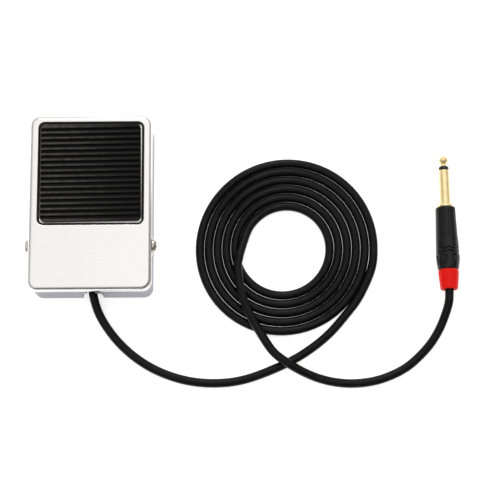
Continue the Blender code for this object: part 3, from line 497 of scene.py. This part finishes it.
def make_cover():
    """The pressed cover: shoulder, lip with its hinge ears, and the pan that holds the pad."""
    low, high = COVER_Y - COVER_HALF_Y, COVER_Y + COVER_HALF_Y
    start, run = low + COVER_CORNER, high - low - 2 * COVER_CORNER
    ear = [HINGE.y + EAR_R * math.sin(a) for a in arc(-math.pi / 2, math.pi / 2, 20)]
    stations = sorted([start + run * t for t in arc(0, 1, 24)] + ear
                      + [HINGE.y - EAR_R - 0.05 * MM, HINGE.y + EAR_R + 0.05 * MM])
    sides = [(y - start) / run for y in stations]
    ends = arc(0, 1, 16)

    def ring(inset, height, follow_lip=False):
        points = outline(COVER_HALF_X - inset, low + inset, high - inset, COVER_CORNER - inset,
                         sides, ends)
        made = []
        for x, y in points:
            z = height
            if follow_lip and abs(y - HINGE.y) <= EAR_R * 1.0001:
                drop = math.sqrt(max(EAR_R ** 2 - (y - HINGE.y) ** 2, 0))
                z = height - COVER_LIP + HINGE.z - drop
            made.append((x, y, z))
        return made

    def pan(outset, height):
        outset -= (COVER_TOP - height) * RECESS_SLOPE
        points = outline(RECESS_HALF_X + outset, RECESS_HEEL - outset, RECESS_TOE + outset,
                         RECESS_CORNER + outset, sides, ends)
        return [(RECESS_X + x, y, height) for x, y in points]

    soft, wall, under = 0.28 * MM, COVER_WALL, COVER_TOP - COVER_WALL
    loops = [pan(wall - 0.3 * MM, PAN_UNDER), pan(wall, PAN_UNDER + 0.3 * MM), pan(wall, under)]
    loops += [ring(wall + (SHOULDER - wall), under), ring(wall + 0.45 * MM, under - 0.15 * MM),
              ring(wall, under - 1.2 * MM), ring(wall, COVER_LIP + soft, True),
              ring(wall - soft * 0.3, COVER_LIP + soft * 0.3, True),
              ring(wall - soft, COVER_LIP, True), ring(soft, COVER_LIP, True),
              ring(soft * 0.3, COVER_LIP + soft * 0.3, True), ring(0, COVER_LIP + soft, True),
              ring(0, COVER_TOP - SHOULDER - 0.4 * MM)]
    for a in arc(0, math.pi / 2, 12):
        loops.append(ring(SHOULDER * (1 - math.cos(a)), COVER_TOP - SHOULDER * (1 - math.sin(a))))
    loops.append(ring(SHOULDER + 0.25 * MM, COVER_TOP))
    rim = 0.25 * MM
    loops.append(pan(rim + 0.3 * MM, COVER_TOP))
    for a in arc(0, math.pi / 2, 6):
        loops.append(pan(rim * (1 - math.sin(a)), COVER_TOP - rim * (1 - math.cos(a))))
    foot, rise = 0.45 * MM, 0.777   # its foot is rounded as far up the leaning wall as along
    for t in arc(0, 1, 6):
        loops.append(pan(-foot * t * t, RECESS_FLOOR + rise * foot * (1 - t) ** 2))
    cover = add_piece("treadle_cover", loft("treadle_cover", loops), "cover_metal", "treadle",
                      ["top_cover"])
    cut(cover, [cylinder(HOLE_R, -REACH, REACH, centre=HINGE)])
    cover.data.transform(TREADLE)
    cover.data.shade_smooth()
    cover.data.set_sharp_from_angle(angle=math.radians(38))
    weigh_normals(cover)


def mat_rows(low_y, high_y, corner, edge, lanes, pitch):
    """Places along a mat, close together at its edges, its corners and its grooves."""
    rows = {low_y, high_y}
    for t in arc(0, 1, 5):
        rows |= {low_y + edge * t, high_y - edge * t}
    for a in arc(0, math.pi / 2, 8):
        rows |= {low_y + corner * (1 - math.cos(a)), high_y - corner * (1 - math.cos(a))}
    for lane in lanes:
        rows |= {lane + pitch * t / 22 for t in range(-11, 12)}
    return distinct(rows, 0.01 * MM)


def mat_columns(half_x, edge, rim):
    """Places across a mat, from -1 to 1, close together at its edges and its grooves' ends."""
    columns = {0.0}
    for t in arc(0, 1, 5):
        columns |= {1 - edge * t / half_x, 1 - (rim + GROOVE_SLOPE * (2 * t - 1)) / half_x}
    columns |= set(arc(0, 1, 14))
    return distinct(columns | {-c for c in columns}, 1e-4)


def mat_rim(wide, long):
    """The numbers of a grid's outer vertices, in order round it."""
    return (list(range(wide)) + [j * wide + wide - 1 for j in range(1, long)]
            + [(long - 1) * wide + i for i in range(wide - 2, -1, -1)]
            + [j * wide for j in range(long - 2, 0, -1)])


def mat_mesh(name, vertices, faces, crest, place):
    """The mat's mesh, which carries how near to a rib's crest each point is."""
    mesh = bpy.data.meshes.new(name)
    mesh.from_pydata(vertices, [], faces)
    attribute = mesh.attributes.new("crest", "FLOAT", "POINT")
    attribute.data.foreach_set("value", crest)
    bm = bmesh.new()
    bm.from_mesh(mesh)
    bmesh.ops.recalc_face_normals(bm, faces=bm.faces)
    bm.to_mesh(mesh)
    bm.free()
    mesh.transform(place)
    mesh.shade_smooth()
    mesh.set_sharp_from_angle(angle=math.radians(55))
    return mesh


def ribbed_mat(name, half_x, low_y, high_y, corner, back, face, grooves, edge, place):
    """A mat whose face is a grid of heights: rounded ribs between grooves that stop at its rim.

    grooves is (first, count, pitch, width, depth, rim).  face may lie above or below back."""
    first_lane, count, pitch, width, depth, rim = grooves
    out = 1 if face > back else -1
    lanes = [first_lane - k * pitch for k in range(count)]
    rows = mat_rows(low_y, high_y, corner, edge, lanes, pitch)
    columns = mat_columns(half_x, edge, rim)

    def reach_at(y):
        """Half the mat's width at a place along it, inside its rounded corners."""
        past = max(low_y + corner - y, y - high_y + corner, 0)
        return half_x - corner + math.sqrt(max(corner ** 2 - past ** 2, 0))

    vertices, faces, crest = [], [], []
    for y in rows:
        near = min(abs(y - lane) for lane in lanes)
        sunk = smooth_step((width / 2 + GROOVE_SLOPE / 2 - near) / GROOVE_SLOPE)
        crown = RIB_CROWN * smooth_step((near - width / 2) / (pitch / 2 - width / 2)) \
            if near < pitch / 2 else RIB_CROWN
        for c in columns:
            from_side = half_x * (1 - abs(c))
            inside = smooth_step((from_side - rim + GROOVE_SLOPE / 2) / GROOVE_SLOPE)
            from_edge = min(from_side, y - low_y, high_y - y)
            fall = max(edge - from_edge, 0)
            round_off = edge - math.sqrt(max(edge ** 2 - fall ** 2, 0))
            low = max(depth * sunk * inside, (RIB_CROWN - crown) * inside, round_off)
            vertices.append((c * reach_at(y), y, face - out * low))
            crest.append(smooth_step(1 - low / CREST_DEPTH))
    wide = len(columns)
    for j in range(len(rows) - 1):
        for i in range(wide - 1):
            a = j * wide + i
            faces.append([a, a + 1, a + 1 + wide, a + wide])
    rim_ids = mat_rim(wide, len(rows))
    first = len(vertices)
    for k in rim_ids:
        vertices.append((vertices[k][0], vertices[k][1], back))
        crest.append(0)
    for k in range(len(rim_ids)):
        j = (k + 1) % len(rim_ids)
        faces.append([rim_ids[k], rim_ids[j], first + j, first + k])
    faces.append([first + k for k in range(len(rim_ids))])
    return mat_mesh(name, vertices, faces, crest, place)


def make_pad():
    place = (TREADLE @ Matrix.Translation((PAD_X, PAD_Y, 0))
             @ Matrix.Rotation(PAD_TURN, 4, "Z"))
    grooves = (GROOVE_FIRST, GROOVES, GROOVE_PITCH, 1.5 * MM, 1.4 * MM, 0.7 * MM)
    mesh = ribbed_mat("ribbed_pad", PAD_HALF_X, -PAD_HALF_Y, PAD_HALF_Y, PAD_CORNER,
                      RECESS_FLOOR + GAP, PAD_TOP, grooves, 0.45 * MM, place)
    add_piece("ribbed_pad", mesh, "pad_rubber", "treadle", ["tread_pad"])


def make_sole():
    low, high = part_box("sole_pad")
    grooves = (42 * MM, 22, 4 * MM, 1.4 * MM, 0.6 * MM, 3 * MM)
    mesh = ribbed_mat("sole", high.x, low.y, high.y, 5 * MM, high.z, low.z, grooves, 0.35 * MM,
                      WORLD)
    add_piece("sole", mesh, "sole_rubber", "base", ["sole_pad"])


# ------------------------------------------------------------------------------------------ tray

def make_tray():
    """The cast tray: stepped wall, cavity, posts, cord notch and hinge recesses."""
    def inset_slab(inset, low, heel, toe):
        half_x, half_y = TRAY_HALF_X - inset, TRAY_HALF_Y - inset
        return rounded_slab("tray", half_x, -half_y, half_y, TRAY_CORNER - inset, low, heel,
                            tops=(heel, toe))

    tray = add_piece("tray", inset_slab(0, TRAY_BOTTOM, STEP_HEEL, STEP_TOE), "tray_metal", "base",
                     ["base_tray"])
    cut(tray, [inset_slab(RABBET_INSET, TRAY_BOTTOM + 0.5 * MM, RABBET_HEEL, RABBET_TOE)], "UNION")
    cut(tray, [inset_slab(CAVITY_INSET, FLOOR_TOP, REACH, REACH)])
    stops = [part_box(f"stop_bumper_{word}") for word in ("left", "right")]
    cut(tray, [cylinder(4.4 * MM, FLOOR_UNDER + 0.4 * MM, low.z - GAP, "Z",
                        ((low.x + high.x) / 2, (low.y + high.y) / 2, 0)) for low, high in stops],
        "UNION")
    low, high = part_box("sole_pad")
    cut(tray, [rounded_slab("sole_recess", high.x + GAP, low.y - GAP, high.y + GAP, 5.3 * MM,
                            -REACH, FLOOR_UNDER)])
    heel_wall = -TRAY_HALF_Y + CAVITY_INSET + 0.2 * MM
    arch = [(-NOTCH_HALF, -1 * MM), (NOTCH_HALF, -1 * MM)]
    rise = 3.2 * MM
    for side, turn in ((1, 0), (-1, math.pi / 2)):
        arch += [(side * (NOTCH_HALF - rise) + rise * math.cos(turn + a),
                  NOTCH_TOP - rise + rise * math.sin(turn + a)) for a in arc(0, math.pi / 2, 10)]
    notch = loft("notch", [[(x, y, z) for x, z in arch] for y in (-REACH, heel_wall)])
    slit = loft("slit", [[(x, y, z) for x, z in ((-SLIT_HALF, NOTCH_TOP - 1 * MM),
                                                 (SLIT_HALF, NOTCH_TOP - 1 * MM),
                                                 (SLIT_HALF, REACH), (-SLIT_HALF, REACH))]
                         for y in (-REACH, heel_wall + 0.1 * MM)])
    inner = TRAY_HALF_X - RABBET_INSET
    recesses = [cylinder(EAR_R + 0.6 * MM, *sorted((side * inner, side * (inner + 6 * MM))),
                         centre=HINGE) for side in (-1, 1)]
    holes = [cylinder(HOLE_R, -REACH, REACH, centre=HINGE)]
    cut(tray, [notch, slit] + recesses + holes)
    bevel = tray.modifiers.new("soft_edges", "BEVEL")
    bevel.width, bevel.segments, bevel.limit_method = 0.3 * MM, 3, "ANGLE"
    bevel.angle_limit = math.radians(50)
    tray.data.shade_smooth()
    tray.data.set_sharp_from_angle(angle=math.radians(50))
    weigh_normals(tray)


# ---------------------------------------------------------------------------------------- screws

def cross_cutter(reach, half, depth, top):
    """A tapering cross, wide at the top, that cuts a cross recess."""
    loops = []
    for height, size, width in ((top + 1.5 * MM, reach, half), (top - 0.2 * MM, reach, half),
                                (top - depth * 0.75, reach * 0.62, half * 0.8),
                                (top - depth, reach * 0.2, half * 0.5)):
        width = min(width, size * 0.9)
        corner = [(size, -width), (size, width), (width, width)]
        loop = []
        for k in range(4):
            turn = math.pi / 2 * k
            loop += [(x * math.cos(turn) - y * math.sin(turn),
                      x * math.sin(turn) + y * math.cos(turn), height) for x, y in corner]
        loops.append(loop)
    return loft("cross", loops)


def make_hinge_screws():
    for word, side in (("left", -1), ("right", 1)):
        low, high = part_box(f"hinge_screw_{word}")
        outer = high.x if side > 0 else -low.x
        inner = low.x if side > 0 else -high.x
        head, seat = 2.55 * MM, outer - 2.55 * MM
        radius = (high.y - low.y) / 2
        profile = [(0, head)]
        for a in arc(0, math.pi / 2, 14)[1:]:
            profile.append((radius * math.sin(a), head * (0.25 + 0.75 * math.cos(a))))
        profile += [(radius, 0.12 * MM), (radius - 0.12 * MM, 0), (1.75 * MM, 0)]
        length = seat - inner
        threads = int(length / (0.35 * MM)) - 6
        for k in range(threads):
            at = -1.6 * MM - k * 0.35 * MM
            profile += [(1.75 * MM, at), (1.52 * MM, at - 0.175 * MM)]
        profile += [(1.5 * MM, -length + 0.3 * MM), (1.2 * MM, -length), (0, -length)]
        mesh = lathe(f"screw_{word}", profile, 56)
        screw = add_piece(f"screw_{word}", mesh, "screw_nickel", "base", [f"hinge_screw_{word}"])
        cut(screw, [cross_cutter(2.5 * MM, 0.48 * MM, 1.5 * MM, head)])
        middle = ((side * seat), (low.y + high.y) / 2, (low.z + high.z) / 2)
        screw.data.transform(Matrix.Translation(middle)
                             @ Matrix.Rotation(side * math.pi / 2, 4, "Y")
                             @ Matrix.Rotation(math.radians(24), 4, "Z"))
        screw.data.shade_smooth()
        screw.data.set_sharp_from_angle(angle=math.radians(34))


# -------------------------------------------------------------------------------- cord and spring

# Points where the cord isn't coiled, in millimetres, as in the solids' source.
LEAD_ROUTE = (
    (0.0, -48.7, 7.3), (0.5, -53.5, 6.7), (3.1, -62.1, 4.6), (7.8, -70.7, 3.0), (15.1, -80.1, 2.7),
    (24.4, -88.8, 2.7), (35.4, -96.1, 2.7), (47.6, -101.4, 2.7), (60.3, -104.6, 2.7),
    (73.3, -105.6, 2.7), (86.5, -104.5, 2.7), (99.9, -100.8, 2.7), (117.7, -93.3, 2.7),
    (131.0, -85.4, 2.7), (142.7, -75.9, 2.7), (153.0, -64.3, 2.7), (161.0, -53.6, 2.7))
TAIL_ROUTE = (
    (89.6, -24.8, 6.8), (88.3, -30.0, 8.0), (87.5, -36.2, 8.3), (89.2, -49.4, 8.3),
    (93.4, -62.5, 8.3), (100.7, -75.9, 8.3), (108.4, -87.5, 8.3), (117.4, -94.6, 8.2),
    (126.0, -99.3, 5.6), (135.4, -103.0, 3.1), (145.6, -105.5, 2.7), (156.6, -106.3, 2.7),
    (168.4, -105.0, 2.7), (179.2, -101.6, 2.7), (188.7, -96.6, 2.7), (196.7, -89.9, 2.7),
    (203.6, -82.3, 2.7), (209.0, -73.7, 2.9), (212.7, -64.9, 4.9), (214.7, -57.8, 7.2),
    (215.1, -51.2, 7.8), (215.1, -47.8, 7.7))
COIL_START, CLIMB_START, COIL_END = 345, 2294, 2332    # degrees, anticlockwise from +X
COIL_R, COIL_FALL = 54.7, 5.42      # millimetres: radius at 360 degrees, and its fall each turn


def coil_route():
    """The flat spiral, turning inwards; its turns are laid slightly oval, the outer ones most."""
    centre = (COIL[0] + COIL[1]) / 2 / MM
    points = []
    for degrees in range(COIL_START, COIL_END + 1, 14):
        angle = math.radians(degrees)
        turn = (degrees - 360) / 360
        oval = 0.84 * (1 - 0.12 * turn)
        radius = COIL_R - COIL_FALL * turn + oval * math.cos(2 * angle - math.radians(112))
        climb = max(degrees - CLIMB_START, 0) / (COIL_END - CLIMB_START)
        points.append((centre.x + radius * math.cos(angle), centre.y + radius * math.sin(angle),
                       2.7 + 2.8 * climb))
    return points


def smooth_line(route, spacing):
    """Evenly spaced points on a Catmull-Rom curve through the route's points."""
    knots = [Vector(p) * MM for p in route]
    knots = [2 * knots[0] - knots[1]] + knots + [2 * knots[-1] - knots[-2]]
    fine = []
    for a, b, c, d in zip(knots, knots[1:], knots[2:], knots[3:]):
        for t in arc(0, 1, 24)[:-1]:
            fine.append(0.5 * (2 * b + (c - a) * t + (2 * a - 5 * b + 4 * c - d) * t ** 2
                               + (3 * b - 3 * c + d - a) * t ** 3))
    fine.append(knots[-2])
    fine = np.array([tuple(p) for p in fine])
    along = np.concatenate([[0], np.cumsum(np.linalg.norm(np.diff(fine, axis=0), axis=1))])
    at = np.linspace(0, along[-1], int(along[-1] / spacing) + 1)
    return np.stack([np.interp(at, along, fine[:, k]) for k in range(3)], axis=1)


def tube(name, points, radius, roundness):
    curve = bpy.data.curves.new(name, "CURVE")
    curve.dimensions = "3D"
    curve.bevel_depth, curve.bevel_resolution, curve.use_fill_caps = radius, roundness, True
    spline = curve.splines.new("POLY")
    spline.points.add(len(points) - 1)
    for slot, point in zip(spline.points, points):
        slot.co = (*point, 1)
    spline.use_smooth = True
    return curve


def make_cord(on_it):
    line = smooth_line(list(LEAD_ROUTE) + coil_route() + list(TAIL_ROUTE), 1.6 * MM)
    cord = add_piece("cord", tube("cord", line, CORD_DRAWN_R, 6), "cord_pvc", "base",
                     ["cord_lead", "cord_coil", "cord_tail"])


def mesh_from(curve, name):
    """A curve as a mesh with welded caps."""
    holder = bpy.data.objects.new(name, curve)
    bpy.context.scene.collection.objects.link(holder)
    bpy.context.view_layer.update()
    mesh = bpy.data.meshes.new_from_object(
        holder.evaluated_get(bpy.context.evaluated_depsgraph_get()))
    bpy.data.objects.remove(holder)
    bm = bmesh.new()
    bm.from_mesh(mesh)
    bmesh.ops.remove_doubles(bm, verts=bm.verts, dist=1e-6)
    bm.to_mesh(mesh)
    bm.free()
    mesh.name = name
    mesh.shade_smooth()
    return mesh


def make_spring():
    """The return spring, drawn at rest; the real one shortens as the treadle goes down."""
    low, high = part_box("return_spring")
    wire = 0.5 * MM
    centre, radius = (low + high) / 2, (high.y - low.y) / 2 - 0.5 * MM
    turns, closed_pitch = 7, 1.15 * MM
    free = high.z - low.z - 2 * wire
    points = []
    for k in range(turns * 40 + 1):
        turn = k / 40
        opened = min(max(turn - 1, 0), turns - 2)
        ends = min(turn, 1) + max(turn - turns + 1, 0)
        height = ends * closed_pitch + opened * (free - 2 * closed_pitch) / (turns - 2)
        angle = 2 * math.pi * turn
        points.append((centre.x + radius * math.cos(angle), centre.y + radius * math.sin(angle),
                       low.z + wire + height))
    spring = add_piece("spring", mesh_from(tube("spring", points, wire, 3), "spring"), "zinc_steel",
                       "base", ["return_spring"])
    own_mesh(spring)


# ------------------------------------------------------------------------------------------ plug

# The barrel, in millimetres from the boot's rear end
BARREL_PROFILE = ((12.4, 6.2), (14.0, 6.55), (17.3, 6.98), (20.5, 7.12), (26, 6.95), (34, 6.7),
                  (44, 6.35), (50.0, 6.28))
FLUTES, FLUTE_HALF, FLUTE_END, FLUTE_TURN = 3, 3.75, 29.0, 126
RINGS, RING_HALF, RING_DEPTH, RING_WAVE = (24.7, 22.6), 0.55, 0.55, 0.38
DARTS, DART_HALF, DART_START, DART_END, DART_DEPTH = 8, 1.75, 14.2, 20.9, 0.65
CARVED_EDGE = 0.32                  # how wide a flute's edge is


def barrel_radius(s):
    return float(np.interp(s, *zip(*BARREL_PROFILE)))


def carved(angle, height, radius):
    """The barrel's carving: three long flutes, two wavy rings and a row of darts behind them."""
    s, r = height / MM, radius / MM
    if r < 5.5:                     # the bore
        return radius
    depth = 0.0
    for k in range(FLUTES):
        away = (angle - math.radians(FLUTE_TURN) - k * 2 * math.pi / FLUTES + math.pi) \
            % (2 * math.pi) - math.pi
        arc_at, past = abs(away) * r, s - FLUTE_END - FLUTE_HALF
        distance = arc_at if past > 0 else math.hypot(arc_at, past)
        scoop = 0.45 + 0.5 * (1 - min(distance / FLUTE_HALF, 1) ** 2)
        depth = max(depth, scoop * smooth_step((FLUTE_HALF - distance) / CARVED_EDGE))
    for middle in RINGS:
        wave = middle + RING_WAVE * math.cos(DARTS * angle)
        depth = max(depth, RING_DEPTH * smooth_step(1 - abs(s - wave) / RING_HALF))
    dart = (angle * DARTS / (2 * math.pi)) % 1 - 0.5
    half = DART_HALF * min(max((s - DART_START) / 6.0, 0), 1)
    arc_at = abs(dart) * 2 * math.pi / DARTS * r
    if s < DART_END:
        fade = smooth_step((DART_END - 0.3 - s) / 0.5)
        depth = max(depth, DART_DEPTH * fade * smooth_step((half - arc_at) / 0.3))
    return (r - depth) * MM


def make_plug():
    """The plug's pieces, each turned about the plug's axis from the boot's rear end."""
    pieces = []

    def turned(name, profile, surface, node, slot, steps=96, **more):
        mesh = lathe(name, profile, steps, PLUG, **more)
        pieces.append(add_piece(name, mesh, surface, "base", [node]))

    turned("boot", filleted([
        (0, 12.1, 0), (5.7, 12.1, 0.4), (6.2, 11.6, 0.4), (6.2, 10.3, 0.8), (5.9, 6.6, 2),
        (5.4, 1.4, 1.4), (5.15, 0.05, 0.9), (4.1, 0.0, 0.8), (3.2, 1.0, 0.8), (2.75, 2.6, 0.5),
        (2.75, 3.4, 0), (0, 3.4, 0)]), "boot_plastic", "plug_boot", "red_boot")
    sides = [(barrel_radius(s) * MM, s * MM) for s in arc(50.0, 12.6, 150)]
    front = [(r * MM, s * MM) for r, s in ((4.5, 50.7), (4.7, 51.05), (5.0, 51.1), (5.6, 51.05),
                                           (6.0, 50.8), (6.2, 50.4))]
    rear = [(r * MM, s * MM) for r, s in ((6.1, 12.42), (5.8, 12.4), (4.6, 12.4), (4.5, 12.5))]
    turned("barrel", front + sides + rear, "barrel_plastic", "plug_barrel", "black_shell",
           steps=240, closed=True, swell=carved, sharp=60)
    turned("collar_and_sleeve", filleted([
        (0, 74.9, 0), (2.95, 74.9, 0.2), (3.17, 74.6, 0.3), (3.18, 54.0, 1), (3.3, 53.2, 0.4),
        (4.3, 52.95, 0.3), (4.6, 52.5, 0.3), (4.6, 51.4, 0.2), (4.4, 51.3, 0.1), (4.15, 51.3, 0),
        (4.15, 43.5, 0.2), (2.2, 43.5, 0), (2.2, 38.5, 0.2), (0, 38.5, 0)]),
        "gold", "plug_sleeve", "gold_plate")
    turned("insulator_ring", filleted([
        (0, 77.0, 0), (2.85, 77.0, 0.2), (3.1, 76.75, 0.2), (3.1, 75.45, 0.2), (2.85, 75.2, 0.2),
        (0, 75.2, 0)]), "ring_plastic", "plug_insulator", "black_shell")
    nose = filleted([
        (0, 84.2, 0), (0.85, 84.2, 0.5), (1.8, 83.5, 0.6), (2.85, 82.1, 0.9), (3.07, 81.2, 0.6),
        (2.6, 80.1, 0.6), (1.62, 79.05, 0.4), (1.6, 78.5, 0.3), (2.25, 77.6, 0.2),
        (2.35, 77.3, 0.05), (0, 77.3, 0)], 8)

    def dimpled(angle, height, radius):
        """A small drilled dimple on the nose's upper side."""
        off_top = (angle + math.pi / 2 + math.pi) % (2 * math.pi) - math.pi
        distance = math.hypot(off_top * radius / MM, height / MM - 81.6)
        return radius - 0.25 * MM * smooth_step((0.45 - distance) / 0.25)

    turned("nose", nose, "gold", "plug_tip", "gold_plate", steps=128, swell=dimpled)
    return pieces + [frame["nodes"]["plug_collet"]]


# ---------------------------------------------------------------------------------- inner pieces

NODE_SURFACES = {
    "zinc_steel": ("spring_cup", "actuator_peg", "lock_washer_left", "lock_washer_right",
                   "hinge_nut_left", "hinge_nut_right", "switch_lever", "lever_pin",
                   "switch_bracket", "bracket_screw_heel", "bracket_screw_toe",
                   "switch_screw_heel", "switch_screw_toe", "switch_nut_heel", "switch_nut_toe",
                   "clamp_screw_left", "clamp_screw_right"),
    "nylon": ("hinge_washer_left", "hinge_washer_right", "spring_seat", "cord_clamp",
              "plug_collet"),
    "switch_plastic": ("switch_body",),
    "red_plastic": ("switch_plunger",),
    "brass": ("terminal_common", "terminal_open", "terminal_closed"),
    "sole_rubber": ("stop_bumper_left", "stop_bumper_right"),
    "cord_pvc": ("cord_end_inside",),
    "wire_white": ("wire_tip",),
    "wire_black": ("wire_sleeve",),
}


def dress_inner_pieces():
    """The solids that stay get their own surface and softly rounded edges."""
    for surface, names in NODE_SURFACES.items():
        for name in names:
            node = frame["nodes"][name]
            node.data.materials.clear()
            node.data.materials.append(MATERIALS[surface])
            node.data.shade_smooth()
            node.data.set_sharp_from_angle(angle=math.radians(42))
            bevel = node.modifiers.new("soft_edges", "BEVEL")
            bevel.width, bevel.segments, bevel.limit_method = 0.1 * MM, 2, "ANGLE"
            bevel.angle_limit = math.radians(42)
            bevel.use_clamp_overlap = True
            weigh_normals(node)


make_camera()
make_materials()
make_studio()
make_cord(make_plug())
make_cover()
make_pad()
make_tray()
make_sole()
make_hinge_screws()
make_spring()
dress_inner_pieces()
